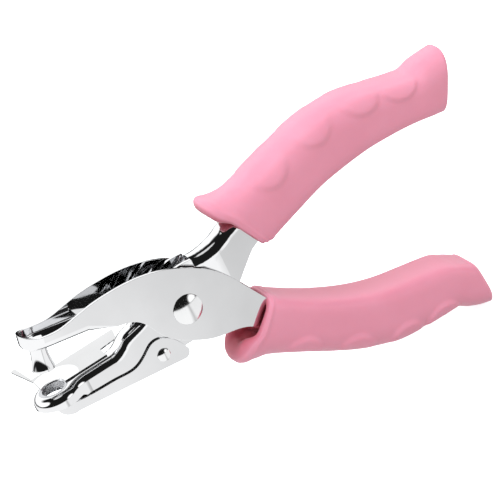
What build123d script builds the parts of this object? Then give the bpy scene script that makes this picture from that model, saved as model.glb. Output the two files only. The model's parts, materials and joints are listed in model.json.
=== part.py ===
from build123d import *
import math
import os

# Hand-held plier punch for one round hole, with a hinged chip tray and two soft sleeves.
# Units are millimetres. +X runs from the nose to the handles, +Y is the pivot axis,
# +Z is up, from the die towards the punch. Every shape is laid out from the pivot centre,
# and the finished pieces are moved so that the origin is on the tray's flat underside.
# The punch lever is shaped with the jaws closed and then turned open by REST_OPEN.

# Driving dimensions
HOLE_X = -40.2            # die and punch axis, in front of the pivot
PUNCH_R = 3.12            # cutting end of the punch
DIE_R = 3.22              # hole in the die ring
REST_OPEN = 10.5          # degrees the jaws stand open at rest
DIE_Z = -1.0              # flat face of the lower jaw
FLOOR_Z = 4.6             # underside of the upper jaw's floor, jaws closed
PUNCH_END_Z = -2.1        # end of the punch, jaws closed

OUTER_HALF = 5.25         # punch lever, half width over its cheeks
OUTER_T = 0.9             # punch lever, sheet thickness
FLOOR_BEND = 2.0          # outer bend radius of the upper jaw's floor
INNER_HALF = 3.5          # die lever, half width over its cheeks at the jaw
HANDLE_HALF = 4.2         # die lever, half width over its cheeks at the handle
INNER_T = 1.0             # die lever, sheet thickness
JAW_BEND = 2.3            # outer bend radius of the lower jaw
HANDLE_BEND = 3.0         # outer bend radius of the handles
WEB_START = 7.0           # the upper handle's web begins at this X
NOSE_R = 6.5              # die lever, rounded nose around the die
NOSE_FRONT = -48.0        # a line in front of both noses, to start outlines from
NECK_FILLET = 7.0         # hollow rounding between nose and jaw, in plan
FLARE = (4.4, 14.5)       # the die lever widens between these two X
UPPER_NOSE_X = -39.4      # centre of the punch lever's rounded nose, jaws closed

GUIDE_T = 0.4             # guide plate thickness

TRAY_IN = 3.65            # tray, half width inside its cheeks
TRAY_OUT = 4.25           # tray, half width over its cheeks
TRAY_T = 0.6              # tray, sheet thickness
TRAY_PIN = (-11.0, -8.0)  # tray hinge axis, X and Z
TRAY_PIN_R = 1.2
TRAY_HEEL = (-6.6, -12.3) # rear end of the tray's flat underside, X and Z
TRAY_TOE = (-37.4, -8.5)  # front end of it
TRAY_ROOM_BACK = -15.0    # the tray's floor pan ends here, its cheeks go on
REST_X = -26.0            # the origin's place along that underside

PIVOT_R = 3.0             # rivet shank
PIVOT_HEAD_R = 4.2        # its near dome
PIVOT_HEAD_RISE = 1.3
UPSET_R = 3.7             # its upset far end
UPSET_RISE = 1.1
PIN_HEAD_R = 1.9          # tray pin dome
PIN_HEAD_RISE = 0.7
WIRE_R = 0.5              # return spring wire
RUN_CLEAR = 0.05          # radial clearance of the turning fits

GRIP_CLEAR = 0.12         # sleeve cavity to lever
MIRROR_TURN = -20.4       # degrees; lays the mirrored handle on the punch lever
MIRROR_SHIFT = (-1.96, 5.45)


def on_xz(points):
    """Points of the XZ plane as space points."""
    return [(x, 0, z) for x, z in points]


def curve(*points):
    """A smooth curve through points of the XZ plane."""
    return Spline(*on_xz(points))


def line(*points):
    """Straight edges through points of the XZ plane."""
    return Polyline(*on_xz(points))


def plate_of(pieces, half):
    """The closed XZ outline extruded to both sides of the middle plane."""
    edges = [edge for piece in pieces for edge in piece.edges()]
    face = Face(Wire(edges))
    return extrude(face, amount=half, dir=(0, 1, 0), both=True)


def y_cylinder(x, z, radius, y0, y1):
    """A round bar along Y between y0 and y1."""
    middle = (y0 + y1) / 2
    return Pos(x, middle, z) * Rot(90, 0, 0) * Cylinder(radius, y1 - y0)


def dome(radius, rise, seat):
    """A rivet head around the Y axis: its flat side at Y = -seat, its round side beyond."""
    ball_r = (radius ** 2 + rise ** 2) / (2 * rise)
    ball = Pos(0, ball_r - rise - seat, 0) * Sphere(ball_r)
    return ball & Pos(0, -seat - 5, 0) * Box(20, 10, 20)


def opened(shape):
    """Turns a part of the punch lever from the closed jaw to the rest pose."""
    return shape.rotate(Axis.Y, REST_OPEN)


def mirrored_handle(shape):
    """Carries a handle shape of the die lever over to the punch lever, at rest."""
    flipped = shape.mirror(Plane.XY)
    turned = flipped.rotate(Axis.Y, -MIRROR_TURN)
    return turned.moved(Location((MIRROR_SHIFT[0], 0, MIRROR_SHIFT[1])))


def half_width_plan(jaw_half, handle_half, nose_r, x_end):
    """Plan outline of the die lever: round nose, narrow jaw, wider handle; as a tall prism."""
    reach = NOSE_R + NECK_FILLET
    hollow_y = jaw_half + reach - nose_r
    hollow_x = HOLE_X + math.sqrt(reach ** 2 - hollow_y ** 2)
    share = nose_r / reach
    touch = (HOLE_X + (hollow_x - HOLE_X) * share, hollow_y * share)
    side = [
        TangentArc((hollow_x, jaw_half), touch, tangent=(-1, 0)),
        Line((hollow_x, jaw_half), (FLARE[0], jaw_half)),
        Spline((FLARE[0], jaw_half), (FLARE[1], handle_half), tangents=((1, 0), (1, 0))),
        Line((FLARE[1], handle_half), (x_end, handle_half)),
    ]
    nose = ThreePointArc(touch, (HOLE_X - nose_r, 0), (touch[0], -touch[1]))
    end = Line((x_end, handle_half), (x_end, -handle_half))
    outline = [nose, *side, end] + [edge.mirror(Plane.XZ) for edge in side]
    edges = [edge for piece in outline for edge in piece.edges()]
    return Pos(0, 0, -30) * extrude(Face(Wire(edges)), 80, dir=(0, 0, 1))


# Handle outlines from the neck to the tail, X and Z, web side and open side.
# The punch lever's pair is laid out the same way round and then mirrored.
HANDLE_TOP = [(17.5, 12.7), (25, 15.3), (40, 18.9), (55, 21.2), (68, 21.6), (80, 19.8)]
HANDLE_LOW = [(80, 13.2), (68, 13.0), (55, 11.8), (40, 9.3), (30, 7.0), (23, 4.2)]
LOWER_TOP = [(17.5, 12.4), (25, 16.4), (40, 21.4), (55, 23.0), (68, 21.8), (80, 19.0)]
LOWER_LOW = [(80, 13.6), (68, 13.6), (55, 13.8), (40, 12.4), (30, 9.8), (23, 6.0)]


def slab(x0, x1):
    """A tall block between two X positions, used to take a stretch of a lever."""
    return Pos((x0 + x1) / 2, 0, 0) * Box(x1 - x0, 40, 160)


def bend_top(stretch, radius):
    """Rounds the long upper edges of a stretch, where the sheet is bent from web to cheek."""
    edges = []
    for face in stretch.faces():
        if face.normal_at().Z > 0.3:
            for edge in face.edges():
                along = edge.position_at(1) - edge.position_at(0)
                if abs(along.X) > 0.3 or abs(along.Z) > 0.3:
                    edges.append(edge)
    return fillet(edges, radius)


def die_lever_side():
    """Side outline of the die lever as a wide prism."""
    top_jaw = line((NOSE_FRONT, DIE_Z), (-23.5, DIE_Z))
    step = curve((-23.5, DIE_Z), (-21.5, -0.6), (-18.5, 1.4), (-15.5, 2.4), (-10, 4.6))
    brow = curve((-10, 4.6), (-3, 9.4), (3, 11.2), (9, 10.7), (13, 11.0), (17.5, 12.7))
    handle_top = curve(*HANDLE_TOP)
    tail = line((80, 19.8), (80, 13.2))
    handle_low = curve(*HANDLE_LOW)
    heel = curve((23, 4.2), (17.3, -0.8), (11.5, -5.6), (4.5, -9.0), (-1.7, -9.5), (-7.5, -9.2))
    ear = ThreePointArc((-7.5, 0, -9.2), (-11, 0, -10.3), (-14, 0, -9.0))
    low_jaw = line(
        (-14, -9.0), (-29.0, -7.7), (-29.6, -6.4), (-33.6, -6.1), (-34.6, -5.2), (NOSE_FRONT, -3.9),
        (NOSE_FRONT, DIE_Z),
    )
    return plate_of([top_jaw, step, brow, handle_top, tail, handle_low, heel, ear, low_jaw], 12)


def jaw_room():
    """The hollow under the jaw web, as a wide prism."""
    under = DIE_Z - INNER_T
    web = line((-50, under), (-23.2, under))
    step = curve((-23.2, under), (-21, -1.5), (-18, 0.4), (-15, 1.4), (-10, 3.5))
    rest = line((-10, 3.5), (-10, -20), (-50, -20), (-50, under))
    return plate_of([web, step, rest], 12)


def handle_room():
    """The hollow under the handle web, as a wide prism."""
    roof = [(x, z - INNER_T) for x, z in HANDLE_TOP]
    front = line((WEB_START, 9.75), (9.5, 9.65), (13, 9.95), (17.5, 11.7))
    back = line((80, 18.8), (90, 18.8), (90, -25), (WEB_START, -25), (WEB_START, 9.75))
    return plate_of([front, curve(*roof), back], 12)


def die_lever():
    """Lower jaw, pivot cheeks and upper handle: one folded channel, open underneath."""
    body = die_lever_side() & half_width_plan(INNER_HALF, HANDLE_HALF, NOSE_R, 81)
    inside = half_width_plan(INNER_HALF - INNER_T, HANDLE_HALF - INNER_T, NOSE_R - INNER_T, 95)
    # Three stretches: the bent jaw, the two plain pivot cheeks, the bent handle
    jaw = bend_top(body & slab(-60, -10), JAW_BEND)
    jaw = jaw - bend_top(jaw_room() & inside & slab(-60, -9.9), JAW_BEND - INNER_T)
    cheeks = body & slab(-10, WEB_START)
    cheeks = cheeks - (inside & slab(-11, WEB_START + 1))
    handle = bend_top(body & slab(WEB_START, 90), HANDLE_BEND)
    handle = handle - bend_top(handle_room() & inside & slab(WEB_START - 1, 95), HANDLE_BEND - INNER_T)
    body = jaw + cheeks + handle
    body = body - y_cylinder(0, 0, PIVOT_R, -8, 8)
    body = body - y_cylinder(*TRAY_PIN, TRAY_PIN_R, -8, 8)
    body = body - Pos(HOLE_X, 0, 0) * Cylinder(DIE_R + 0.9, 10)
    return body


def die_ring():
    """Hardened ring pressed into the nose web, flush with the die face."""
    ring = Pos(HOLE_X, 0, DIE_Z - 1.0) * Cylinder(DIE_R + 0.9, 2.0)
    return ring - Pos(HOLE_X, 0, DIE_Z - 1.0) * Cylinder(DIE_R, 4.0)


def guide_plate():
    """Thin sheet-rest plate on the far side of the die, with a narrow tab standing out sideways."""
    top = DIE_Z + GUIDE_T
    outline = Polygon(
        (-42.8, -0.8), (-23.8, -0.8), (-23.8, 3.8), (-18.5, 4.6), (-17.2, 10.4), (-42.8, 10.4),
        align=None,
    )
    tab = Polygon((-42.9, 9.0), (-42.4, 9.0), (-43.3, 20.6), (-44.8, 20.6), align=None)
    tip = Circle(0.75).moved(Location((-44.05, 20.6)))
    sheet = outline + tab + tip - Circle(DIE_R + 0.35).moved(Location((HOLE_X, 0)))
    return Pos(0, 0, DIE_Z) * extrude(sheet, top - DIE_Z)


def pivot_rivet():
    """Domed rivet that joins the levers, with its upset far end."""
    shank = y_cylinder(0, 0, PIVOT_R, -OUTER_HALF - 0.2, OUTER_HALF + 1.0)
    near = dome(PIVOT_HEAD_R, PIVOT_HEAD_RISE, OUTER_HALF + RUN_CLEAR)
    far = dome(UPSET_R, UPSET_RISE, OUTER_HALF + 0.85).mirror(Plane.XZ)
    return shank + near + far


def pivot_washer():
    """Flat washer under the upset end of the rivet."""
    y0 = OUTER_HALF + RUN_CLEAR
    y1 = OUTER_HALF + 0.85
    return y_cylinder(0, 0, 4.6, y0, y1) - y_cylinder(0, 0, PIVOT_R, y0 - 1, y1 + 1)


def cheek_washers():
    """Two friction washers, one between each pair of cheeks."""
    near = y_cylinder(0, 0, 4.8, -4.32, -3.52) - y_cylinder(0, 0, PIVOT_R + RUN_CLEAR, -6, 0)
    return Compound([near, near.mirror(Plane.XZ)])


def pivot_bush():
    """Spacer tube around the rivet, between the inner cheeks."""
    half = INNER_HALF - INNER_T - 0.03
    return y_cylinder(0, 0, 4.2, -half, half) - y_cylinder(0, 0, PIVOT_R + RUN_CLEAR, -9, 9)


def leg_and_coil(near_end, far_end, coil_r, turns):
    """Points along a torsion spring: a straight leg, the coil about Y, a straight leg."""

    def leave_angle(end, sense):
        reach = math.hypot(end[0], end[2])
        return math.atan2(end[2], end[0]) + sense * math.acos(coil_r / reach)

    start = leave_angle(near_end, 1)
    stop = leave_angle(far_end, -1) + 2 * math.pi * turns
    steps = 16 * turns
    coil = []
    for i in range(steps + 1):
        share = i / steps
        angle = start + share * (stop - start)
        y = near_end[1] + share * (far_end[1] - near_end[1])
        coil.append(Vector(coil_r * math.cos(angle), y, coil_r * math.sin(angle)))
    lead = [Vector(*near_end) + (coil[0] - Vector(*near_end)) * (i / 4) for i in range(4)]
    trail = [coil[-1] + (Vector(*far_end) - coil[-1]) * (i / 4) for i in range(1, 5)]
    return lead + coil + trail


def return_spring():
    """Torsion spring round the bush, its two legs lying inside the handles."""
    points = leg_and_coil((19.0, -1.6, 10.9), (15.3, 1.6, -13.6), 4.95, 3)
    path = Edge.make_spline(points)
    section = Plane(origin=points[0], z_dir=path % 0) * Circle(WIRE_R)
    return sweep(section, path=path)


def lens_cheeks():
    """Two big cheeks of the punch lever, jaws closed."""
    top = curve(
        (-45.6, 9.9), (-43.0, 8.9), (-40.5, 8.35), (-37.5, 8.2), (-34.5, 8.5), (-31.4, 9.4),
        (-25.2, 11.5), (-19.1, 12.8), (-13.2, 13.5), (-7.4, 13.4), (-1.8, 12.4), (3.5, 10.6),
        (8.7, 7.9), (13.5, 3.9), (18.0, -1.3), (22.1, -6.2), (25.0, -9.6),
    )
    tail = line((25.0, -9.6), (17.0, -12.4))
    low = curve(
        (17.0, -12.4), (12.3, -10.9), (5.0, -10.6), (0.9, -9.5), (-4.4, -7.2), (-7.1, -5.4),
        (-9.3, -3.2), (-11.1, -0.7), (-13.0, 1.4), (-16.0, 2.8), (-20.0, 3.2), (-24.3, 4.3),
        (-28.0, FLOOR_Z),
    )
    jaw = line((-28.0, FLOOR_Z), (-45.6, FLOOR_Z), (-45.6, 9.9))
    return plate_of([top, tail, low, jaw], 12)


def punch_jaw():
    """Upper jaw of the punch lever: round-nosed trough with a flat floor, jaws closed."""

    def trough(half, floor, bend):
        nose = Circle(half).moved(Location((UPPER_NOSE_X, 0)))
        arms = Polygon((UPPER_NOSE_X, -half), (-26, -half), (-26, half), (UPPER_NOSE_X, half), align=None)
        block = Pos(0, 0, floor) * extrude(nose + arms, 30)
        lows = [e for e in block.edges() if abs(e.center().Z - floor) < 0.01 and e.center().X < -26.1]
        return fillet(lows, bend)

    shell = trough(OUTER_HALF, FLOOR_Z, FLOOR_BEND)
    hollow = trough(OUTER_HALF - OUTER_T, FLOOR_Z + OUTER_T, FLOOR_BEND - OUTER_T)
    return (shell - hollow) & lens_cheeks()


def lower_channel():
    """Folded handle channel of the punch lever, laid out like an upper handle."""
    half = OUTER_HALF
    sheet = OUTER_T
    tail = line(LOWER_TOP[-1], LOWER_LOW[0])
    front = line(LOWER_LOW[-1], LOWER_TOP[0])
    outer = plate_of([curve(*LOWER_TOP), tail, curve(*LOWER_LOW), front], half)
    outer = bend_top(outer & slab(18.0, 90), HANDLE_BEND)
    roof = [(x, z - sheet) for x, z in LOWER_TOP]
    rest = line(roof[-1], (95, roof[-1][1]), (95, -30), (10, -30), (10, 5), roof[0])
    inner = bend_top(plate_of([curve(*roof), rest], half - sheet) & slab(17, 95), HANDLE_BEND - sheet)
    return outer - inner


def bend_corner(x, low, radius):
    """What a bend of that radius takes off the near cheek's lower corner, as a face across the jaw."""
    y = -OUTER_HALF
    bend = ThreePointArc(
        (x, y, low + radius),
        (x, y + radius * (1 - math.sqrt(0.5)), low + radius * (1 - math.sqrt(0.5))),
        (x, y + radius, low),
    )
    rest = Polyline((x, y + radius, low), (x, y + radius, low - 1), (x, y - 1, low - 1),
                    (x, y - 1, low + radius), (x, y, low + radius))
    return Face(Wire(bend.edges() + rest.edges()))


def punch_lever():
    """Upper jaw, outer pivot cheeks and lower handle: one folded channel, open on top."""
    cheeks = lens_cheeks() & slab(-27.0, 40)
    plates = cheeks & Pos(0, 0, 0) * Box(200, 2 * OUTER_HALF, 200)
    plates = plates - Box(200, 2 * (OUTER_HALF - OUTER_T), 200)
    # The jaw's lower bends run out along the cheeks
    run_out = loft([bend_corner(-27.3, FLOOR_Z, FLOOR_BEND), bend_corner(-19.5, 3.2, 0.1)], ruled=True)
    plates = plates - run_out - run_out.mirror(Plane.XZ)
    jaw = opened(punch_jaw() + plates)
    handle = mirrored_handle(lower_channel())
    body = jaw + handle
    body = body - y_cylinder(0, 0, PIVOT_R + RUN_CLEAR, -8, 8)
    floor_hole = Pos(HOLE_X, 0, FLOOR_Z) * Cylinder(1.6, 6)
    return body - opened(floor_hole)


def punch():
    """Flared round punch with a concave flank and a shouldered, upset upper end."""
    land = PUNCH_END_Z + 0.6
    flank = ThreePointArc((PUNCH_R, 0, land), (2.55, 0, land + 2.3), (2.35, 0, FLOOR_Z))
    outline = Polyline(
        (2.35, 0, FLOOR_Z), (1.6, 0, FLOOR_Z), (1.6, 0, 6.3), (2.2, 0, 6.3), (1.9, 0, 6.9),
        (0, 0, 7.15), (0, 0, PUNCH_END_Z + 0.5), (PUNCH_R, 0, PUNCH_END_Z), (PUNCH_R, 0, land),
    )
    face = Face(Wire(outline.edges() + flank.edges()))
    return opened(Pos(HOLE_X, 0, 0) * revolve(face, Axis.Z, 360))


def punch_washer():
    """Backing washer on the floor of the upper jaw, under the upset end of the punch."""
    z0 = FLOOR_Z + OUTER_T
    ring = Cylinder(2.4, 6.3 - z0) - Cylinder(1.6, 5)
    return opened(Pos(HOLE_X, 0, (z0 + 6.3) / 2) * ring)


TRAY_TOP = [
    (-42.6, -5.15), (-39.6, -5.4), (-36.3, -5.95), (-33.3, -6.3), (-30.3, -6.5), (-24.2, -6.8),
    (-19.2, -6.95), (-17.0, -6.1), (-14.7, -4.6), (-12.9, -3.5), (-11.5, -3.2), (-10.0, -3.4),
    (-8.0, -4.5),
]


def tray_slope():
    """Rise of the tray's flat underside towards the nose, per unit of length."""
    return (TRAY_TOE[1] - TRAY_HEEL[1]) / (TRAY_HEEL[0] - TRAY_TOE[0])


def chip_tray():
    """Sheet tray under the lower jaw; its cheeks straddle the jaw flanges at the hinge."""
    top = curve(*TRAY_TOP)
    back = curve((-8.0, -4.5), (-5.6, -7.4), (-4.3, -10.0))
    heel = ThreePointArc((-4.3, 0, -10.0), (-4.7, 0, -11.7), *on_xz([TRAY_HEEL]))
    floor = line(TRAY_HEEL, TRAY_TOE)
    lip = ThreePointArc(*on_xz([TRAY_TOE]), (-41.2, 0, -7.4), (-42.6, 0, -5.15))
    shell = plate_of([top, back, heel, floor, lip], TRAY_OUT)
    up = TRAY_T / math.cos(math.atan(tray_slope()))
    wall = TRAY_ROOM_BACK
    deep = TRAY_TOE[1] - (wall - TRAY_TOE[0]) * tray_slope() + up
    room_toe = (TRAY_TOE[0] + 0.1, TRAY_TOE[1] + up)
    room_low = line((wall, -2.0), (wall, deep), room_toe)
    room_lip = ThreePointArc(*on_xz([room_toe]), (-40.6, 0, -7.0), (-42.0, 0, -4.5))
    room_top = line((-42.0, -4.5), (-42.0, -2.0), (wall, -2.0))
    room = plate_of([room_low, room_lip, room_top], TRAY_IN)
    behind = plate_of([line((wall, 0), (0, 0), (0, -20), (wall, -20), (wall, 0))], TRAY_IN)
    tray = shell - room - behind
    return tray - y_cylinder(*TRAY_PIN, TRAY_PIN_R + RUN_CLEAR, -8, 8)


def tray_pins():
    """Two stub rivets the tray turns on, pressed into the jaw flanges."""
    x, z = TRAY_PIN
    shank = y_cylinder(x, z, TRAY_PIN_R, -TRAY_OUT - 0.3, -INNER_HALF + INNER_T)
    head = Pos(x, 0, z) * dome(PIN_HEAD_R, PIN_HEAD_RISE, TRAY_OUT + RUN_CLEAR)
    near = shank + head
    return Compound([near, near.mirror(Plane.XZ)])


# Sleeve stations: centre X and Z, half height, half width, lean of the section in degrees
UPPER_SLEEVE = [
    (20.9, 12.3, 10.2, 8.0, 24.6),
    (28.4, 12.4, 9.4, 8.3, 10.0),
    (36.8, 14.7, 9.0, 8.4, 11.0),
    (45.7, 17.1, 9.0, 8.4, 9.5),
    (54.8, 18.5, 9.1, 8.4, 5.0),
    (63.2, 18.7, 8.6, 8.3, -2.0),
    (71.3, 17.6, 7.8, 8.1, -6.0),
    (78.5, 16.4, 7.4, 8.0, -7.0),
    (84.6, 16.1, 8.2, 7.9, -8.0),
    (89.5, 16.8, 7.7, 7.2, -12.0),
    (92.7, 18.2, 4.2, 4.4, -16.0),
]
LOWER_SLEEVE = [
    (21.6, 14.4, 9.4, 8.0, 24.6),
    (28.4, 14.4, 8.6, 8.3, 12.0),
    (36.8, 16.3, 8.2, 8.4, 11.0),
    (45.7, 18.1, 8.4, 8.4, 8.0),
    (54.8, 18.7, 8.8, 8.4, 3.0),
    (63.2, 18.6, 8.4, 8.3, -3.0),
    (71.3, 17.2, 7.6, 8.1, -6.0),
    (78.0, 16.2, 6.8, 8.0, -7.0),
    (84.0, 16.0, 7.3, 7.9, -8.0),
    (88.8, 16.8, 6.8, 7.2, -12.0),
    (91.8, 17.8, 3.8, 4.4, -16.0),
]


def sleeve(stations, half, roof, sill):
    """Soft sleeve over a handle, open at the mouth, with room for the channel inside."""
    sections = []
    for x, z, high, wide, lean in stations:
        turn = math.radians(lean)
        plane = Plane(origin=(x, 0, z), x_dir=(0, 1, 0), z_dir=(math.cos(turn), 0, math.sin(turn)))
        corner = 0.78 * min(high, wide)
        sections.append(plane * RectangleRounded(2 * wide, 2 * high, corner))
    body = loft(sections)
    gap = GRIP_CLEAR
    top = [(x, z + gap) for x, z in roof]
    low = [(x, z - gap) for x, z in sill]
    end = line(top[-1], (80 + gap, top[-1][1]), (80 + gap, low[0][1]), low[0])
    mouth = line(low[-1], (5, -4), (5, 9), top[0])
    return body - plate_of([curve(*top), end, curve(*low), mouth], half + gap)


def upper_grip():
    """Soft sleeve on the die lever's handle."""
    return sleeve(UPPER_SLEEVE, HANDLE_HALF, HANDLE_TOP, HANDLE_LOW)


def lower_grip():
    """The matching soft sleeve, mirrored, on the punch lever's wider handle."""
    grip = sleeve(LOWER_SLEEVE, OUTER_HALF, LOWER_TOP, LOWER_LOW)
    # The tail of the big cheeks enters the mouth below the channel
    mouth_room = line((12, 2), (27.5, 5.4), (33, 8.8), (33, 14), (12, 14), (12, 2))
    return mirrored_handle(grip - plate_of([mouth_room], OUTER_HALF + GRIP_CLEAR))


NODES = {
    "die_lever": die_lever,
    "die_ring": die_ring,
    "guide_plate": guide_plate,
    "pivot_rivet": pivot_rivet,
    "pivot_washer": pivot_washer,
    "cheek_washers": cheek_washers,
    "pivot_bush": pivot_bush,
    "return_spring": return_spring,
    "punch_lever": punch_lever,
    "punch": punch,
    "punch_washer": punch_washer,
    "chip_tray": chip_tray,
    "tray_pins": tray_pins,
    "upper_grip": upper_grip,
    "lower_grip": lower_grip,
}

REST_Z = TRAY_HEEL[1] + (TRAY_HEEL[0] - REST_X) * tray_slope()
TO_ORIGIN = Location((-REST_X, 0, -REST_Z))

os.makedirs("parts", exist_ok=True)
for node, make in NODES.items():
    export_step(make().moved(TO_ORIGIN), f"parts/{node}.step")
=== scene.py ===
import json
import math

import bmesh
import bpy
import numpy as np
from mathutils import Matrix, Vector


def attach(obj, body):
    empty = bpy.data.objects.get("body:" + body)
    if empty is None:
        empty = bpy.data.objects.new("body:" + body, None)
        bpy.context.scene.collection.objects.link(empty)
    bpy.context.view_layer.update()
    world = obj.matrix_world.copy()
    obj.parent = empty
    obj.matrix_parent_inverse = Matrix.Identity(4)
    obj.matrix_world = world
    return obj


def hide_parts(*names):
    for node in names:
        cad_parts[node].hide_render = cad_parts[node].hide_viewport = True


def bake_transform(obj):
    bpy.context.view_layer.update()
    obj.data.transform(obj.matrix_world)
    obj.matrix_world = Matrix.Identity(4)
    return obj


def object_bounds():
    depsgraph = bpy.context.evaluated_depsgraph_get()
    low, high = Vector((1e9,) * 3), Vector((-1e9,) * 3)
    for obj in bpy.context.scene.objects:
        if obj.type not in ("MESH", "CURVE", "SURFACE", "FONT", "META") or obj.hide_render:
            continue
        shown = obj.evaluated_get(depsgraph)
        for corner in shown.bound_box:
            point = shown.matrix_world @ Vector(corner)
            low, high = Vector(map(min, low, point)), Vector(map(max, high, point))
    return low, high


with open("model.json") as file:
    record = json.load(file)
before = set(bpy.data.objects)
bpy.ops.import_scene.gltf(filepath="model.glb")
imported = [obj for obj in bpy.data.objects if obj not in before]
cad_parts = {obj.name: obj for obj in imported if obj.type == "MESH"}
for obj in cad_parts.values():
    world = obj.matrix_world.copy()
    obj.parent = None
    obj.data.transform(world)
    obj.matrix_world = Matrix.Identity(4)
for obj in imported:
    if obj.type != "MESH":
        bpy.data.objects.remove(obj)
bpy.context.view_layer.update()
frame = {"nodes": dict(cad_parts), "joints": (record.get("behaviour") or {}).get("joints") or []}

# Looks of the hand-held hole punch. Shapes are laid out in millimetres from the main pivot,
# +X to the handles, +Y along the pivot, +Z up, and placed in the CAD frame in metres.
JOINTS = {joint["name"]: joint for joint in frame["joints"]}
PIVOT = Vector(JOINTS["jaw"]["pos_m"])
MM = 0.001

# Camera
CAMERA_AZIMUTH = -12.95
CAMERA_ELEVATION = 25.85
CAMERA_DISTANCE = 700.0     # mm from the pivot
CAMERA_AIM = (23.4, 0.0, 2.3)
CAMERA_ROLL = 25.8
CAMERA_LENS = 192.1         # mm

# Lower handle: the upper handle's layout turned over, then moved onto its own lever
LOWER_TURN = 20.4           # degrees
LOWER_SHIFT = (-1.96, 5.45)  # mm, X and Z

# Key light, metres
KEY_PLACE = (-0.15, -0.10, 0.93)
KEY_AIM = (0.04, 0, 0)
KEY_SIZE = 0.5
KEY_POWER = 5.6             # watts
KEY_COLOUR = (0.72, 1.0, 1.06)


def placed(points):
    """Points in millimetres from the pivot as an array of metres in the CAD frame."""
    return np.array(points, float) * MM + np.array(PIVOT)


def smoothstep(low, high, value):
    """0 below low, 1 above high, with a soft change between."""
    share = np.clip((value - low) / (high - low), 0.0, 1.0)
    return share * share * (3 - 2 * share)


# ---------------------------------------------------------------- node helpers

def add(tree, kind, settings=None, **inputs):
    """A shader node with its settings and inputs; an input may be a value or a socket."""
    made = tree.nodes.new("ShaderNode" + kind)
    for name, value in (settings or {}).items():
        setattr(made, name, value)
    for name, value in inputs.items():
        key = int(name[1:]) if name[0] == "i" and name[1:].isdigit() else name.replace("_", " ")
        if isinstance(value, bpy.types.NodeSocket):
            tree.links.new(value, made.inputs[key])
        else:
            made.inputs[key].default_value = value
    return made


def math_node(tree, operation, a, b=0.0, clamp=False):
    return add(tree, "Math", {"operation": operation, "use_clamp": clamp}, i0=a, i1=b).outputs[0]


def soft_range(tree, value, low, high, out_low=0.0, out_high=1.0):
    """Value mapped from low..high to out_low..out_high with a soft change."""
    ramp = add(tree, "MapRange", {"interpolation_type": "SMOOTHSTEP"})
    tree.links.new(value, ramp.inputs["Value"])
    ramp.inputs["From Min"].default_value = low
    ramp.inputs["From Max"].default_value = high
    ramp.inputs["To Min"].default_value = out_low
    ramp.inputs["To Max"].default_value = out_high
    return ramp.outputs["Result"]


def blended(tree, share, first, second):
    """Two colours mixed by share."""
    mix = tree.nodes.new("ShaderNodeMix")
    mix.data_type = "RGBA"
    for index, value in ((0, share), (6, first), (7, second)):
        if isinstance(value, bpy.types.NodeSocket):
            tree.links.new(value, mix.inputs[index])
        else:
            mix.inputs[index].default_value = value
    return mix.outputs[2]


def new_material(name):
    """An empty node material with a Principled shader: (material, tree, shader, position)."""
    material = bpy.data.materials.new(name)
    material.use_nodes = True
    tree = material.node_tree
    tree.nodes.clear()
    output = tree.nodes.new("ShaderNodeOutputMaterial")
    shader = tree.nodes.new("ShaderNodeBsdfPrincipled")
    tree.links.new(shader.outputs[0], output.inputs["Surface"])
    position = tree.nodes.new("ShaderNodeTexCoord").outputs["Object"]
    return material, tree, shader, position


# ---------------------------------------------------------------- materials

def steel(name, colour, rough, edge=0.12, scratches=0.0, polished=None):
    """Plated or bare steel: tone and roughness vary, edges are eased and worn brighter.

    edge is the eased radius and scratches the depth of fine lines along X, both in millimetres.
    polished is the centre, radius and colour of a round zone rubbed brighter.
    """
    material, tree, shader, position = new_material(name)
    shader.inputs["Metallic"].default_value = 1.0
    tone = add(tree, "TexNoise", Vector=position, Scale=60.0, Detail=4.0)
    smear = add(tree, "TexNoise", Vector=position, Scale=420.0, Detail=6.0, Roughness=0.6)
    eased = add(tree, "Bevel", {"samples": 6}, Radius=edge * MM)
    flat = tree.nodes.new("ShaderNodeNewGeometry").outputs["Normal"]
    facing = add(tree, "VectorMath", {"operation": "DOT_PRODUCT"}, i0=eased.outputs[0], i1=flat)
    worn = soft_range(tree, facing.outputs["Value"], 0.995, 0.8)
    dark = tuple(c * 0.93 for c in colour) + (1,)
    base = blended(tree, soft_range(tree, tone.outputs[0], 0.3, 0.7), dark, tuple(colour) + (1,))
    bright = tuple(min(1.0, c * 1.08) for c in colour) + (1,)
    base = blended(tree, math_node(tree, "MULTIPLY", worn, 0.7), base, bright)
    if polished:
        centre, radius, gloss = polished
        rim = 0.15
        away = add(tree, "VectorMath", {"operation": "DISTANCE"}, i0=position,
                   i1=tuple(placed(centre)))
        zone = soft_range(tree, away.outputs["Value"], (radius + rim) * MM, (radius - rim) * MM)
        base = blended(tree, zone, base, tuple(gloss) + (1,))
    tree.links.new(base, shader.inputs["Base Color"])
    spread = soft_range(tree, smear.outputs[0], 0.35, 0.75, rough * 0.75, rough * 1.35)
    tree.links.new(math_node(tree, "ADD", spread, math_node(tree, "MULTIPLY", worn, 0.05)),
                   shader.inputs["Roughness"])
    normal = eased.outputs[0]
    if scratches:
        stretch = add(tree, "Mapping", Vector=position, Scale=(60.0, 2500.0, 2500.0))
        fine = add(tree, "TexNoise", Vector=stretch.outputs[0], Scale=1.0, Detail=3.0)
        height = math_node(tree, "MULTIPLY", fine.outputs[0], scratches)
        bump = add(tree, "Bump", Height=height, Normal=normal, Strength=1.0, Distance=MM)
        normal = bump.outputs[0]
    tree.links.new(normal, shader.inputs["Normal"])
    return material


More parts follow.
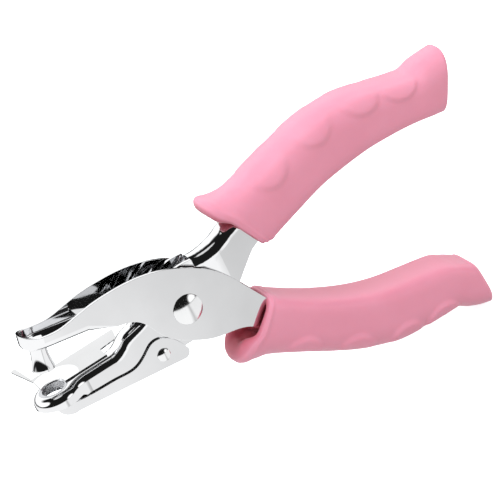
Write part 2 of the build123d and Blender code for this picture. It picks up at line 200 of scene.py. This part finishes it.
def turned_steel(name, colour, rough, pitch):
    """Ground steel with fine rings, pitch millimetres apart."""
    material, tree, shader, position = new_material(name)
    shader.inputs["Metallic"].default_value = 1.0
    shader.inputs["Base Color"].default_value = tuple(colour) + (1,)
    rings = add(tree, "TexWave", {"wave_type": "RINGS"}, Vector=position, Scale=1.0 / (pitch * MM),
                Distortion=1.5, Detail=2.0)
    grime = add(tree, "TexNoise", Vector=position, Scale=500.0, Detail=5.0)
    tree.links.new(soft_range(tree, grime.outputs[0], 0.3, 0.7, rough * 0.8, rough * 1.4),
                   shader.inputs["Roughness"])
    eased = add(tree, "Bevel", {"samples": 6}, Radius=0.1 * MM)
    bump = add(tree, "Bump", Height=rings.outputs[1], Normal=eased.outputs[0], Strength=0.25,
               Distance=0.02 * MM)
    tree.links.new(bump.outputs[0], shader.inputs["Normal"])
    return material


def soft_rubber(name, colour, shade, deep):
    """Satin moulded rubber: faint colour clouds, fine grain and sheen, with painted shade inside the
    handle's room.

    colour and shade are the two tones of the skin, deep is painted shade: a darker red laid inside the
    handle's room where shade falls.
    """
    material, tree, shader, position = new_material(name)
    cloud = add(tree, "TexNoise", Vector=position, Scale=90.0, Detail=4.0, Roughness=0.55)
    speck = add(tree, "TexNoise", Vector=position, Scale=2600.0, Detail=3.0)
    base = blended(tree, soft_range(tree, cloud.outputs[0], 0.25, 0.75), shade + (1,), colour + (1,))
    # Painted shade: the room attribute turns the colour deep red inside the handle's room, standing in
    # for the shade there
    room = add(tree, "Attribute", {"attribute_name": "room"}).outputs["Fac"]
    base = blended(tree, room, base, deep + (1,))
    tree.links.new(base, shader.inputs["Base Color"])
    tree.links.new(soft_range(tree, cloud.outputs[0], 0.3, 0.7, 0.42, 0.52), shader.inputs["Roughness"])
    # The painted shade inside the room also loses most of its gloss
    tree.links.new(soft_range(tree, room, 0.0, 1.0, 0.9, 0.1), shader.inputs["Specular IOR Level"])
    shader.inputs["Subsurface Weight"].default_value = 0.25
    shader.inputs["Subsurface Radius"].default_value = (1.0, 0.35, 0.3)
    shader.inputs["Subsurface Scale"].default_value = 1.2 * MM
    shader.inputs["Sheen Weight"].default_value = 0.15
    shader.inputs["Sheen Roughness"].default_value = 0.4
    bump = add(tree, "Bump", Height=speck.outputs[0], Strength=0.25, Distance=0.03 * MM)
    tree.links.new(bump.outputs[0], shader.inputs["Normal"])
    return material


PLATED = steel("plated_steel", (0.86, 0.865, 0.875), 0.05)
RIVET = steel("rivet_steel", (0.84, 0.845, 0.85), 0.13, edge=0.1)
DIE = turned_steel("tool_steel", (0.60, 0.61, 0.63), 0.25, 0.12)
SHEET = steel("rolled_steel", (0.67, 0.675, 0.68), 0.10, edge=0.05, scratches=0.004,
              polished=((-38.7, 2.5, -0.8), 7.0, (0.88, 0.885, 0.89)))
WIRE = steel("spring_steel", (0.55, 0.56, 0.58), 0.22, edge=0.02, scratches=0.02)
# Two skin tones, then the deep red painted shade for inside the handle's room
SLEEVE = soft_rubber("soft_sleeve", (0.84, 0.30, 0.41), (0.81, 0.275, 0.38), (0.50, 0.07, 0.10))

FINISHES = {
    "die_lever": PLATED, "punch_lever": PLATED, "chip_tray": PLATED, "guide_plate": SHEET,
    "punch": PLATED, "pivot_rivet": RIVET, "pivot_washer": RIVET, "cheek_washers": RIVET,
    "pivot_bush": RIVET, "punch_washer": RIVET, "tray_pins": RIVET, "die_ring": DIE,
    "return_spring": WIRE,
}
for node, material in FINISHES.items():
    slots = frame["nodes"][node].data.materials
    slots.clear()
    slots.append(material)

# ---------------------------------------------------------------- soft sleeves
# Stations along a sleeve: centre X and Z, half height, half width, lean of the section in degrees.
# Both sleeves are laid out on the upper handle; the lower one is then mirrored onto its lever.
UPPER_STATIONS = [
    (21.9, 13.6, 10.3, 8.0, 27.0), (25.6, 12.8, 9.4, 8.2, 20.0), (28.5, 13.2, 8.7, 8.3, 14.0),
    (36.6, 15.5, 8.5, 8.4, 12.0), (45.6, 18.0, 8.5, 8.4, 9.5), (54.7, 19.4, 8.6, 8.4, 5.0),
    (63.2, 19.6, 8.2, 8.3, -1.0), (71.4, 18.4, 7.3, 8.1, -6.0), (77.1, 17.3, 6.7, 8.0, -8.0),
    (81.6, 16.5, 6.6, 8.0, -10.0), (84.8, 16.7, 7.5, 7.9, -14.0), (87.2, 16.7, 8.1, 7.7, -20.0),
    (89.8, 16.6, 8.7, 7.4, -25.0),
]
LOWER_STATIONS = [
    (22.9, 15.3, 9.9, 8.0, 25.0), (25.8, 15.1, 9.3, 8.2, 19.0), (28.6, 15.2, 8.4, 8.3, 14.0),
    (36.7, 16.9, 7.9, 8.4, 12.0), (45.6, 18.7, 8.0, 8.4, 8.0), (54.7, 19.8, 8.2, 8.4, 3.0),
    (63.3, 19.7, 8.3, 8.3, -3.0), (71.4, 18.1, 7.9, 8.1, -6.0), (77.0, 16.7, 7.4, 8.0, -8.0),
    (81.4, 15.7, 6.9, 8.0, -10.0), (84.9, 16.3, 7.2, 7.9, -15.0), (87.7, 16.6, 7.5, 7.7, -22.0),
    (90.5, 16.8, 7.4, 7.3, -27.0),
]
# Room for the steel channel inside: web side and open side, X and Z
UPPER_ROOF = [(8, 13.4), (17.5, 13.6), (25, 16.0), (40, 19.6), (55, 21.9), (68, 22.3), (80, 20.5)]
UPPER_SILL = [(8, 2.0), (23, 3.6), (30, 6.3), (40, 8.6), (55, 11.1), (68, 12.3), (80, 12.5)]
LOWER_ROOF = [(8, 13.6), (17.5, 13.6), (25, 17.2), (40, 22.1), (55, 23.7), (68, 22.5), (80, 19.7)]
LOWER_SILL = [(8, 2.0), (23, 4.6), (30, 8.2), (40, 11.4), (55, 13.1), (68, 12.9), (80, 12.9)]
RIDGES = [36.8, 51.6, 65.6, 76.6]   # X of the four finger ridges
RIDGE_REACH = 12.4                  # round the section, from the middle of the outer side
RIDGE_HALF = 6.2                    # half width, and the radius of the rounded end
RIDGE_RISE = 0.7
TAIL_DEPTH = 1.6                    # how far the tail bulges past the last station
TAIL_CORNER = 0.4                   # smaller makes its edge tighter
LIP_RISE = 0.35                     # swelling of the skin just behind the mouth
MOUTH_FADE = 14.0                   # length over which the slanted mouth turns square
FLARE_LENGTH = 6.0                  # length over which the mouth narrows to the room
FLARE_SHARE = 0.85
WALL_INNER = 1.9                    # wall at the mouth, on the inner and on the outer side
WALL_OUTER = 5.5
ROOM_END = 80.3                     # X where the room for the handle stops
OUTER_POWER, INNER_POWER = 2.5, 5.0  # roundness of the two halves of a section: 2 is an ellipse
ROOM_POWER = 6.0                    # the same for the room
# Arc distance from the middle of the outer side, at every eighth of a turn from the +Y side
ARC_FROM_TOP = [13.5, 8.5, 0.0, 8.5, 13.5, 20, 27, 20, 13.5]
AROUND = 120                        # points round a section
ALONG = 170                         # sections along the outer skin
CAP_STEPS = 12
RIM_STEPS = 8


def through(rows, at):
    """Catmull-Rom curve through rows, read at fractional row numbers."""
    rows = np.array(rows, float)
    last = len(rows) - 1
    rows = np.vstack([2 * rows[0] - rows[1], rows, 2 * rows[-1] - rows[-2]])
    at = np.asarray(at, float)
    low = np.clip(at.astype(int), 0, last - 1)
    t = (at - low)[:, None]
    a, b, c, d = rows[low], rows[low + 1], rows[low + 2], rows[low + 3]
    return 0.5 * (2 * b + (c - a) * t + (2 * a - 5 * b + 4 * c - d) * t ** 2
                  + (3 * b - a - 3 * c + d) * t ** 3)


def rounded_box(angle, power):
    """Unit superellipse at the given angles: power 2 is a circle, more is squarer."""
    y = np.sign(np.cos(angle)) * np.abs(np.cos(angle)) ** (2 / power)
    h = np.sign(np.sin(angle)) * np.abs(np.sin(angle)) ** (2 / power)
    return y, h


def section(angle):
    """Unit section of a sleeve: full round on the outer side, flatter on the inner side."""
    return rounded_box(angle, np.where(np.sin(angle) > 0, OUTER_POWER, INNER_POWER))


def section_angles():
    """Angles that space points evenly round a sleeve section; the first is the +Y side."""
    angle = np.linspace(0, 2 * math.pi, 2881)
    y, h = section(angle)
    length = np.concatenate([[0], np.cumsum(np.hypot(np.diff(y), np.diff(h)))])
    return np.interp(np.arange(AROUND) / AROUND * length[-1], length, angle)


def ridge_height(x, around):
    """Raised finger tongues across the outer side; around is the arc distance from its middle.

    A tongue rises softly from the middle and ends in a crisp rounded step on the flank.
    """
    softness = 5.0 - 4.3 * smoothstep(3.0, RIDGE_REACH - 1, around)
    share = smoothstep(4.5, 10.0, around)
    past = np.maximum(0.0, around - (RIDGE_REACH - RIDGE_HALF))
    height = np.zeros_like(x)
    for middle in RIDGES:
        distance = np.hypot(x - middle, past) - RIDGE_HALF
        height += (1 - smoothstep(-softness, 0.4, distance)) * RIDGE_RISE * share
    return height


def sleeve_points(stations, roof, sill, room_half, lobe, lobe_from):
    """Rings of a closed thick sleeve, from the blind end of its room over the mouth to the tail.

    roof and sill bound the room in height and room_half in width; lobe is how far the mouth
    reaches forward on the outer side, above the unit height lobe_from. Returns the blind end's
    middle, the rings, the tail's tip and each ring's share of shade.
    """
    angles = section_angles()
    unit_y, unit_h = section(angles)
    rows = through(stations, np.linspace(0, len(stations) - 1, ALONG))
    x, z, high, wide, lean = (rows[:, i][:, None] for i in range(5))
    turn = np.radians(lean)
    run = np.concatenate([[0], np.cumsum(np.hypot(np.diff(x[:, 0]), np.diff(z[:, 0])))])[:, None]

    def at(y, h, forward, row=slice(None)):
        """Section coordinates as points; forward is towards the tail."""
        px = x[row] - np.sin(turn[row]) * h + np.cos(turn[row]) * forward
        pz = z[row] + np.cos(turn[row]) * h + np.sin(turn[row]) * forward
        return np.stack([px, np.broadcast_to(y, px.shape), pz], axis=-1)

    # Outer skin
    y = wide * unit_y
    h = high * unit_h
    around = np.interp(angles, np.linspace(0, 2 * math.pi, len(ARC_FROM_TOP)), ARC_FROM_TOP)
    lift = ridge_height(x + 0 * y, around[None, :] + 0 * y)
    lip = LIP_RISE * np.exp(-((run - 0.9) / 0.9) ** 2)
    grow = 1 + (lift + lip) / np.maximum(np.hypot(y, h), 1.0)
    front = lobe * smoothstep(lobe_from, lobe_from + 0.45, unit_h)
    fade = 1 - smoothstep(0, MOUTH_FADE, run)
    outer = at(y * grow, h * grow, -front[None, :] * fade)

    # Tail cap
    cap = []
    last = slice(ALONG - 1, ALONG)
    for step in range(1, CAP_STEPS):
        phi = step / CAP_STEPS * math.pi / 2
        shrink = math.cos(phi) ** TAIL_CORNER
        cap.append(at(y[last] * shrink, h[last] * shrink, TAIL_DEPTH * math.sin(phi), last)[0])
    tip = at(np.zeros((1, 1)), np.zeros((1, 1)), TAIL_DEPTH, last)[0, 0]

    # Room for the channel
    def limit(profile, h0):
        """Height of a room profile in each ring's own section, found in a few steps from h0."""
        table = np.array(profile, float)
        h1 = np.full_like(x, h0)
        for _ in range(12):
            zz = np.interp((x - np.sin(turn) * h1)[:, 0], table[:, 0], table[:, 1])[:, None]
            h1 = (zz - z) / np.cos(turn)
        return h1

    top, low = limit(roof, 4.0), limit(sill, -4.0)
    box_y, box_h = rounded_box(angles, ROOM_POWER)
    inner_y = room_half * box_y[None, :] + 0 * x
    inner_h = (top + low) / 2 + (top - low) / 2 * box_h[None, :]
    # The mouth opens a little wider than the room
    flare = FLARE_SHARE * (1 - smoothstep(0.0, FLARE_LENGTH, run))
    wall = WALL_INNER + (WALL_OUTER - WALL_INNER) * smoothstep(0.1, 0.8, unit_h)
    mouth_scale = 1 - wall / np.maximum(np.hypot(y, h), 1.0)
    inner_y = inner_y + flare * (y * mouth_scale - inner_y)
    inner_h = inner_h + flare * (h * mouth_scale - inner_h)
    inner = at(inner_y, inner_h, -front[None, :] * fade)
    deep = int(np.argmax(x[:, 0] > ROOM_END))
    inside = inner[1:deep][::3]
    bottom = inner[deep].mean(axis=0)

    # Rounded rim between the inner wall and the outer skin
    rim = []
    middle = (inner[0] + outer[0]) / 2
    reach = (outer[0] - inner[0]) / 2
    axis = np.array([math.cos(turn[0, 0]), 0, math.sin(turn[0, 0])])
    bulge = np.linalg.norm(reach, axis=1)[:, None] * 0.75
    for step in range(1, RIM_STEPS):
        phi = step / RIM_STEPS * math.pi
        rim.append(middle - reach * math.cos(phi) - axis * bulge * math.sin(phi))
    rings = list(inside[::-1]) + [inner[0]] + rim + list(outer) + cap
    # Share of painted shade per ring: full inside the room, fading over the rim, none on the outer skin
    # and tail
    room_shade_share = np.concatenate([np.ones(len(inside) + 1), np.linspace(0.9, 0, len(rim)) ** 0.5,
                             np.zeros(len(outer) + len(cap))])
    return bottom, rings, tip, room_shade_share


def tube_mesh(name, start, rings, end):
    """A closed mesh from a start point, rings of equal length and an end point."""
    count = len(rings[0])
    points = [start] + [p for ring in rings for p in ring] + [end]
    faces = []
    for i in range(count):
        j = (i + 1) % count
        faces.append((0, 1 + j, 1 + i))
        for r in range(len(rings) - 1):
            a, b = 1 + r * count, 1 + (r + 1) * count
            faces.append((a + i, a + j, b + j, b + i))
        last = 1 + (len(rings) - 1) * count
        faces.append((last + i, last + j, len(points) - 1))
    mesh = bpy.data.meshes.new(name)
    mesh.from_pydata([tuple(p) for p in points], [], faces)
    skin = bmesh.new()
    skin.from_mesh(mesh)
    if skin.calc_volume(signed=True) < 0:
        bmesh.ops.reverse_faces(skin, faces=skin.faces)
        skin.to_mesh(mesh)
    skin.free()
    mesh.polygons.foreach_set("use_smooth", [True] * len(mesh.polygons))
    mesh.update()
    return mesh


def mirrored(points):
    """Points laid out on the upper handle carried over to the lower one."""
    turn = math.radians(LOWER_TURN)
    out = np.array(points, float)
    x, z = out[..., 0].copy(), out[..., 2].copy()
    out[..., 0] = x * math.cos(turn) - z * math.sin(turn) + LOWER_SHIFT[0]
    out[..., 2] = -x * math.sin(turn) - z * math.cos(turn) + LOWER_SHIFT[1]
    return out


def make_sleeve(name, body, node, shape, carry):
    """One sleeve, riding on its lever in place of the plain grip; carry lays its points out."""
    start, rings, end, room_shade_share = sleeve_points(**shape)
    start, rings, end = carry(start), carry(np.array(rings)), carry(end)
    mesh = tube_mesh(name, placed(start), placed(rings), placed(end))
    mesh.materials.append(SLEEVE)
    # The room attribute carries each point's share of painted shade to the sleeve material
    room = mesh.attributes.new("room", "FLOAT", "POINT")
    room.data.foreach_set("value", np.concatenate([[1.0], np.repeat(room_shade_share, AROUND), [0.0]]))
    sleeve = bpy.data.objects.new(name, mesh)
    bpy.context.scene.collection.objects.link(sleeve)
    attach(sleeve, body)
    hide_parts(node)


make_sleeve("upper_sleeve", "die_lever", "upper_grip",
            dict(stations=UPPER_STATIONS, roof=UPPER_ROOF, sill=UPPER_SILL, room_half=4.4,
                 lobe=0.6, lobe_from=0.2), np.array)
make_sleeve("lower_sleeve", "punch_lever", "lower_grip",
            dict(stations=LOWER_STATIONS, roof=LOWER_ROOF, sill=LOWER_SILL, room_half=5.45,
                 lobe=1.2, lobe_from=-0.05), mirrored)


# ---------------------------------------------------------------- return spring
SPRING_ENDS = ((19.0, -1.6, 10.9), (15.3, 1.6, -13.6))
COIL_R = 4.95
COIL_TURNS = 3
COIL_POINTS = 145
LEG_POINTS = 12
WIRE_R = 0.5
WIRE_AROUND = 14


def spring_path():
    """Points along the torsion spring: a straight leg, the coil about the pivot, a straight leg."""

    def leave_angle(end, sense):
        """Angle on the coil where a straight leg to end touches it."""
        return math.atan2(end[2], end[0]) + sense * math.acos(COIL_R / math.hypot(end[0], end[2]))

    near, far = (np.array(end) for end in SPRING_ENDS)
    last = leave_angle(far, -1) + 2 * math.pi * COIL_TURNS
    angle = np.linspace(leave_angle(near, 1), last, COIL_POINTS)
    side = np.linspace(near[1], far[1], len(angle))
    coil = np.stack([COIL_R * np.cos(angle), side, COIL_R * np.sin(angle)], axis=1)
    share = np.linspace(0, 1, LEG_POINTS, endpoint=False)[:, None]
    lead = near + (coil[0] - near) * share
    trail = far + (coil[-1] - far) * share
    return np.vstack([lead, coil, trail[::-1]])


def make_spring():
    """Round wire along the path; its two legs follow the two levers."""
    path = spring_path()
    along = np.gradient(path, axis=0)
    along /= np.linalg.norm(along, axis=1)[:, None]
    out = np.cross(along, (0.0, 1.0, 0.0))
    out /= np.linalg.norm(out, axis=1)[:, None]
    up = np.cross(along, out)
    turn = np.linspace(0, 2 * math.pi, WIRE_AROUND, endpoint=False)[:, None]
    rings = []
    for point, a, b in zip(path, out, up):
        rings.append(point + WIRE_R * (np.cos(turn) * a + np.sin(turn) * b))
    mesh = tube_mesh("torsion_spring", placed(path[0]), placed(rings), placed(path[-1]))
    mesh.materials.append(WIRE)
    spring = bpy.data.objects.new("torsion_spring", mesh)
    bpy.context.scene.collection.objects.link(spring)
    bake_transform(spring)
    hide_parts("return_spring")


make_spring()


# ---------------------------------------------------------------- studio

def make_world():
    """Pale backdrop for the camera, an even dome for matt surfaces, and for mirrors a studio.

    The studio is laid out by direction from the object: parts are its X, Y and Z.
    """
    world = bpy.data.worlds.new("studio")
    bpy.context.scene.world = world
    world.use_nodes = True
    world.cycles.sampling_method = "NONE"
    tree = world.node_tree
    tree.nodes.clear()
    output = tree.nodes.new("ShaderNodeOutputWorld")
    direction = tree.nodes.new("ShaderNodeTexCoord").outputs["Generated"]
    parts = add(tree, "SeparateXYZ", i0=direction).outputs
    path = tree.nodes.new("ShaderNodeLightPath").outputs

    # A pale table below, shading off towards the handles and bright again past them
    below = soft_range(tree, parts[2], 0.03, -0.06)
    fall = add(tree, "MapRange", {"clamp": True}, i0=parts[0], i1=0.12, i2=0.27, i3=1.10, i4=0.58)
    again = soft_range(tree, parts[0], 0.25, 0.42, 0.0, 0.42)
    table = math_node(tree, "MULTIPLY", below, math_node(tree, "ADD", fall.outputs[0], again))
    # A dark far foot of the table outlines the turned-away bends
    side = math_node(tree, "ABSOLUTE", parts[0])
    foot = math_node(tree, "MULTIPLY", soft_range(tree, parts[1], 0.40, 0.55),
                     soft_range(tree, parts[2], -0.55, -0.48))
    foot = math_node(tree, "MULTIPLY", foot, soft_range(tree, side, 0.5, 0.4))
    foot = math_node(tree, "MULTIPLY", foot, soft_range(tree, parts[2], -0.20, -0.28))
    table = math_node(tree, "MULTIPLY", table, math_node(tree, "SUBTRACT", 1.0, foot))
    # A bright wall behind, a window in front to the right, and a lamp above to the left
    back = math_node(tree, "MULTIPLY", soft_range(tree, parts[1], 0.0, 0.35),
                     soft_range(tree, parts[2], 0.78, 0.62))
    sky = math_node(tree, "MULTIPLY", back, soft_range(tree, parts[2], 0.08, 0.24, 0.0, 1.25))
    spot = add(tree, "VectorMath", {"operation": "DOT_PRODUCT"}, i0=direction,
               i1=(0.68, -0.72, 0.12))
    window = soft_range(tree, spot.outputs["Value"], 0.93, 0.97, 0.0, 1.3)
    window = math_node(tree, "MULTIPLY", window, soft_range(tree, parts[2], -0.02, 0.04))
    strip = add(tree, "VectorMath", {"operation": "DOT_PRODUCT"}, i0=direction,
                i1=(-0.8, 0.1, 0.59))
    lamp = soft_range(tree, strip.outputs["Value"], 0.90, 0.96, 0.0, 1.4)
    studio = math_node(tree, "ADD", math_node(tree, "ADD", table, sky),
                       math_node(tree, "ADD", window, lamp))
    # A small pale panel straight overhead in an otherwise dark ceiling
    ceiling = soft_range(tree, parts[2], 0.972, 0.985, 0.012, 0.85)
    studio = math_node(tree, "ADD", studio, ceiling)
    mirror = add(tree, "Background", Strength=studio, Color=(1.0, 1.0, 1.0, 1))

    dome = soft_range(tree, parts[2], -0.6, 0.9, 0.76, 1.06)
    matt = add(tree, "Background", Strength=dome, Color=(1.04, 0.99, 0.99, 1))
    seen = add(tree, "Background", Strength=1.0, Color=(1.0, 1.0, 1.0, 1))
    lit = add(tree, "MixShader", Fac=path["Is Glossy Ray"], i1=matt.outputs[0],
              i2=mirror.outputs[0])
    whole = add(tree, "MixShader", Fac=path["Is Camera Ray"], i1=lit.outputs[0],
                i2=seen.outputs[0])
    tree.links.new(whole.outputs[0], output.inputs["Surface"])


def make_floor():
    """Pale floor just under the object, bright to the camera and dimmer for the light it throws."""
    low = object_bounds()[0].z - 0.5 * MM
    half = 4.0
    corners = [(-half, -half, low), (half, -half, low), (half, half, low), (-half, half, low)]
    mesh = bpy.data.meshes.new("floor")
    mesh.from_pydata(corners, [], [(0, 1, 2, 3)])
    floor = bpy.data.objects.new("floor", mesh)
    bpy.context.scene.collection.objects.link(floor)
    material, tree, shader, _ = new_material("floor")
    shader.inputs["Roughness"].default_value = 1.0
    shader.inputs["Specular IOR Level"].default_value = 0.0
    shader.inputs["Emission Color"].default_value = (1, 1, 1, 1)
    path = tree.nodes.new("ShaderNodeLightPath").outputs
    glow = math_node(tree, "MULTIPLY", path["Is Camera Ray"], 0.75)
    paint = blended(tree, path["Is Camera Ray"], (0.45, 0.45, 0.45, 1), (0.92, 0.92, 0.92, 1))
    tree.links.new(paint, shader.inputs["Base Color"])
    tree.links.new(glow, shader.inputs["Emission Strength"])
    mesh.materials.append(material)
    floor.visible_glossy = False


def make_key_light():
    """A round soft light, left out of reflections."""
    lamp = bpy.data.lights.new("key", "AREA")
    lamp.shape = "DISK"
    lamp.size = KEY_SIZE
    lamp.energy = KEY_POWER
    lamp.color = KEY_COLOUR
    light = bpy.data.objects.new("key", lamp)
    light.location = KEY_PLACE
    light.rotation_mode = "QUATERNION"
    light.rotation_quaternion = (Vector(KEY_AIM) - Vector(KEY_PLACE)).to_track_quat("-Z", "Y")
    light.visible_glossy = False
    bpy.context.scene.collection.objects.link(light)


def make_camera():
    """A long-lens camera aimed near the pivot and rolled so that the tool lies slanting."""
    a, e = math.radians(CAMERA_AZIMUTH), math.radians(CAMERA_ELEVATION)
    towards = Vector((math.sin(a) * math.cos(e), -math.cos(a) * math.cos(e), math.sin(e)))
    eye = PIVOT + towards * CAMERA_DISTANCE * MM
    aim = PIVOT + Vector(CAMERA_AIM) * MM
    camera = bpy.data.objects.new("camera", bpy.data.cameras.new("camera"))
    camera.data.lens = CAMERA_LENS
    camera.data.clip_start = 0.01
    camera.location = eye
    camera.rotation_mode = "QUATERNION"
    level = (aim - eye).to_track_quat("-Z", "Y")
    roll = Matrix.Rotation(math.radians(-CAMERA_ROLL), 4, "Z").to_quaternion()
    camera.rotation_quaternion = level @ roll
    bpy.context.scene.collection.objects.link(camera)
    bpy.context.scene.camera = camera


bpy.context.scene.view_settings.view_transform = "Standard"
make_world()
make_floor()
make_key_light()
make_camera()
